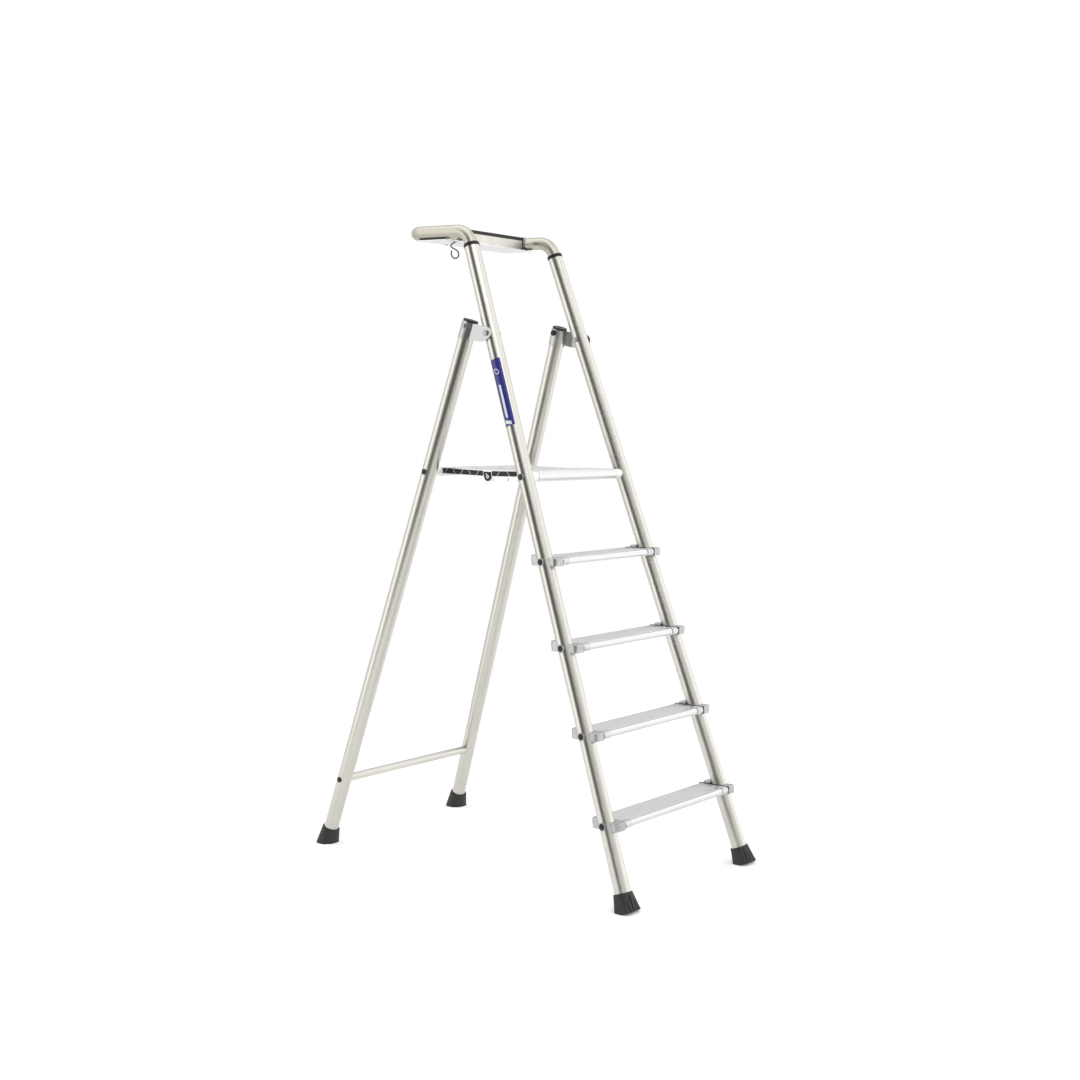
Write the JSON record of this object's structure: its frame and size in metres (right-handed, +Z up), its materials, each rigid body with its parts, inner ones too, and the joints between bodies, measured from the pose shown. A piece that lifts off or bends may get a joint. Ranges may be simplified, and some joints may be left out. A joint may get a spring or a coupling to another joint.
{
  "type": "platform step ladder",
  "caption": "Folding step ladder of round aluminium tube with ribbed treads, hinged platform, bent guard rail, tool tray and bucket hook.",
  "frame": {"origin": "on the floor at the centre of the footprint of the feet, ladder opened", "axes": "+Z up, +Y to the rear frame, +X to the right of a person climbing"},
  "size_m": [0.6644, 1.2349, 1.903],
  "materials": {
    "tube_aluminium": "satin drawn tube with fine lengthwise lines",
    "rail_aluminium": "satin bent tube",
    "tread_aluminium": "bright extruded with fine ribs",
    "cast_aluminium": "fine cast",
    "tray_metal": "smooth sheet",
    "zinc_steel": "zinc plated sheet",
    "fastener_steel": "zinc plated",
    "hook_steel": "dark plated wire",
    "black_plastic": "moulded",
    "natural_nylon": "natural moulded nylon",
    "rubber": "moulded",
    "label_film": "printed film"
  },
  "bodies": {
    "front_frame": {"stile_left": "tube_aluminium", "stile_right": "tube_aluminium", "stile_hole_caps": "black_plastic", "stile_cap_rims": "fastener_steel", "tread_1": "tread_aluminium", "tread_2": "tread_aluminium", "tread_3": "tread_aluminium", "tread_4": "tread_aluminium", "tread_brackets_left": "cast_aluminium", "tread_brackets_right": "cast_aluminium", "tread_end_caps_left": "cast_aluminium", "tread_end_caps_right": "cast_aluminium", "tread_gaskets": "rubber", "step_bolts": "fastener_steel", "front_foot_left": "rubber", "front_foot_right": "rubber", "fold_pivot_bolts": "fastener_steel", "fold_pivot_nuts": "fastener_steel", "fold_pivot_washers": "natural_nylon", "platform_front_spacers": "natural_nylon", "platform_front_screws": "fastener_steel", "guard_rail": "rail_aluminium", "collar_left": "black_plastic", "collar_right": "black_plastic", "tool_tray": "tray_metal", "tray_trim": "black_plastic", "tray_pads": "rubber", "tray_straps": "zinc_steel", "strap_knobs": "black_plastic", "tray_rivet": "black_plastic", "label": "label_film"},
    "rear_frame": {"rear_leg_left": "tube_aluminium", "rear_leg_right": "tube_aluminium", "rear_crossbar": "tube_aluminium", "leg_hole_caps": "black_plastic", "rear_foot_left": "rubber", "rear_foot_right": "rubber", "hinge_bracket_left": "zinc_steel", "hinge_bracket_right": "zinc_steel", "leg_top_plug_left": "black_plastic", "leg_top_plug_right": "black_plastic", "leg_top_bolts": "fastener_steel", "leg_bolt_caps": "black_plastic", "crossbar_screws": "fastener_steel", "crossbar_bushes": "natural_nylon", "platform_rear_spacers": "natural_nylon", "platform_rear_screws": "fastener_steel"},
    "front_panel": {"platform_front_panel": "tread_aluminium", "front_panel_plugs": "black_plastic", "front_nose_bearings": "natural_nylon", "hinge_arm_left": "tread_aluminium", "hinge_arm_right": "tread_aluminium", "knuckle_caps": "black_plastic"},
    "rear_panel": {"platform_rear_panel": "tread_aluminium", "rear_panel_plugs": "black_plastic", "rear_nose_bearings": "natural_nylon", "knuckle_pin": "tread_aluminium"},
    "hook": {"bucket_hook": "hook_steel"}
  },
  "joints": [
    {"name": "rear_frame_fold", "type": "hinge", "parent": "front_frame", "child": "rear_frame", "pos_m": [0, -0.03921, 1.573], "axis": [-1, 0, 0], "range_deg": [0, 37.9]},
    {"name": "front_panel_pivot", "type": "hinge", "parent": "front_frame", "child": "front_panel", "pos_m": [0, -0.18221, 1.1635], "axis": [1, 0, 0], "range_deg": [0, 49.61]},
    {"name": "panel_knuckle", "type": "hinge", "parent": "front_panel", "child": "rear_panel", "pos_m": [0, 0.0015, 1.16], "axis": [-1, 0, 0], "range_deg": [0, 156.34]},
    {"name": "hook_swing", "type": "hinge", "parent": "front_frame", "child": "hook", "pos_m": [-0.1419, 0.1585, 1.8549], "axis": [0.7907, 0.6122, 0], "range_deg": [-10, 10]}
  ],
  "couplings": [
    {"joint": "front_panel_pivot", "follows": "rear_frame_fold", "ratio": 1.3088},
    {"joint": "panel_knuckle", "follows": "rear_frame_fold", "ratio": 4.1249}
  ]
}
